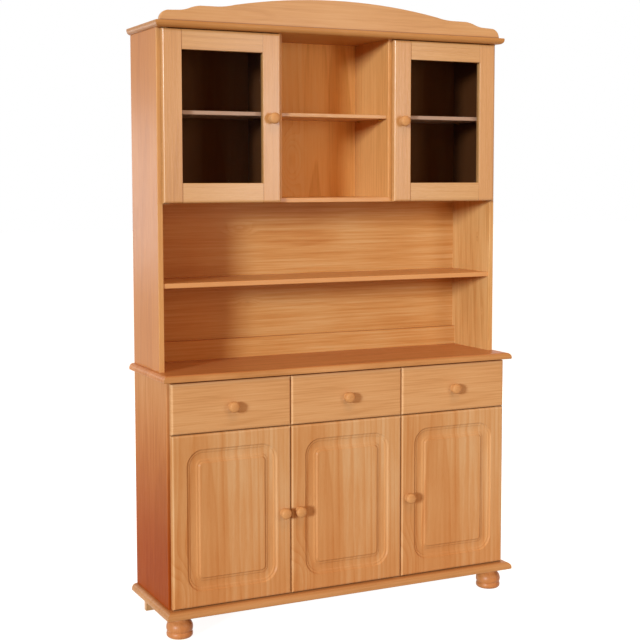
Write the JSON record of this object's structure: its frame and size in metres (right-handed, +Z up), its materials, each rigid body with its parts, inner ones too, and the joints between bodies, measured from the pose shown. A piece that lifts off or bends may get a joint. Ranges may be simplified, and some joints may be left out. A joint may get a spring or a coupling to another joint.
{
  "type": "welsh dresser",
  "caption": "Pine welsh dresser: a base cupboard with drawers over routed doors, and a hutch with an open shelf, glazed cupboards and a shaped crest.",
  "frame": {"origin": "on the floor under the middle of the whole dresser, knobs included", "axes": "+X to the right seen from the front, +Y to the rear, +Z up"},
  "size_m": [1.185, 0.3404, 1.8739],
  "materials": {
    "honey_pine": "satin lacquer",
    "drawer_pine": "sanded, unlacquered",
    "back_pine": "thin lacquered boards",
    "beech": "plain",
    "clear_glass": "polished",
    "zinc_steel": "zinc plated",
    "brass": "plain",
    "brown_plastic": "moulded"
  },
  "bodies": {
    "carcass": {"dowels": "beech", "bun_feet": "honey_pine", "rear_legs": "honey_pine", "plinth_board": "honey_pine", "base_left_side": "honey_pine", "base_right_side": "honey_pine", "base_partition": "honey_pine", "drawer_shelf": "honey_pine", "drawer_dividers": "honey_pine", "base_back_panel": "back_pine", "base_shelves": "honey_pine", "worktop": "honey_pine", "drawer_runners": "beech", "hutch_left_side": "honey_pine", "hutch_right_side": "honey_pine", "hutch_partitions": "honey_pine", "cupboard_floor": "honey_pine", "open_shelf": "honey_pine", "hutch_upper_back": "back_pine", "hutch_lower_back": "back_pine", "hutch_back_rail": "honey_pine", "cupboard_shelves": "honey_pine", "shelf_pins": "zinc_steel", "cornice_board": "honey_pine", "crest_board": "honey_pine", "pivot_plates": "zinc_steel", "door_catches": "brown_plastic"},
    "left_door": {"left_door_panel": "honey_pine", "left_door_knob": "honey_pine", "left_door_fittings": "brass"},
    "left_drawer": {"left_drawer_front": "honey_pine", "left_drawer_box": "drawer_pine", "left_drawer_bottom": "drawer_pine", "left_drawer_knob": "honey_pine"},
    "centre_door": {"centre_door_panel": "honey_pine", "centre_door_knob": "honey_pine", "centre_door_fittings": "brass"},
    "centre_drawer": {"centre_drawer_front": "honey_pine", "centre_drawer_box": "drawer_pine", "centre_drawer_bottom": "drawer_pine", "centre_drawer_knob": "honey_pine"},
    "right_door": {"right_door_panel": "honey_pine", "right_door_knob": "honey_pine", "right_door_fittings": "brass"},
    "right_drawer": {"right_drawer_front": "honey_pine", "right_drawer_box": "drawer_pine", "right_drawer_bottom": "drawer_pine", "right_drawer_knob": "honey_pine"},
    "left_glazed_door": {"left_glazed_stiles": "honey_pine", "left_glazed_rails": "honey_pine", "left_glazed_pane": "clear_glass", "left_glazed_beads": "honey_pine", "left_glazed_knob": "honey_pine", "left_glazed_fittings": "brass"},
    "right_glazed_door": {"right_glazed_stiles": "honey_pine", "right_glazed_rails": "honey_pine", "right_glazed_pane": "clear_glass", "right_glazed_beads": "honey_pine", "right_glazed_knob": "honey_pine", "right_glazed_fittings": "brass"}
  },
  "joints": [
    {"name": "left_door_hinge", "type": "hinge", "parent": "carcass", "child": "left_door", "pos_m": [-0.5595, -0.13375, 0.3464], "axis": [0, 0, -1], "range_deg": [0, 100]},
    {"name": "centre_door_hinge", "type": "hinge", "parent": "carcass", "child": "centre_door", "pos_m": [0.1801, -0.13375, 0.3464], "axis": [0, 0, 1], "range_deg": [0, 100]},
    {"name": "right_door_hinge", "type": "hinge", "parent": "carcass", "child": "right_door", "pos_m": [0.5595, -0.13375, 0.3464], "axis": [0, 0, 1], "range_deg": [0, 100]},
    {"name": "left_drawer_slide", "type": "slide", "parent": "carcass", "child": "left_drawer", "axis": [0, -1, 0], "range_m": [0, 0.2]},
    {"name": "centre_drawer_slide", "type": "slide", "parent": "carcass", "child": "centre_drawer", "axis": [0, -1, 0], "range_m": [0, 0.2]},
    {"name": "right_drawer_slide", "type": "slide", "parent": "carcass", "child": "right_drawer", "axis": [0, -1, 0], "range_m": [0, 0.2]},
    {"name": "left_glazed_door_hinge", "type": "hinge", "parent": "carcass", "child": "left_glazed_door", "pos_m": [-0.5545, -0.07675, 1.51925], "axis": [0, 0, -1], "range_deg": [0, 105]},
    {"name": "right_glazed_door_hinge", "type": "hinge", "parent": "carcass", "child": "right_glazed_door", "pos_m": [0.5545, -0.07675, 1.51925], "axis": [0, 0, 1], "range_deg": [0, 105]}
  ]
}
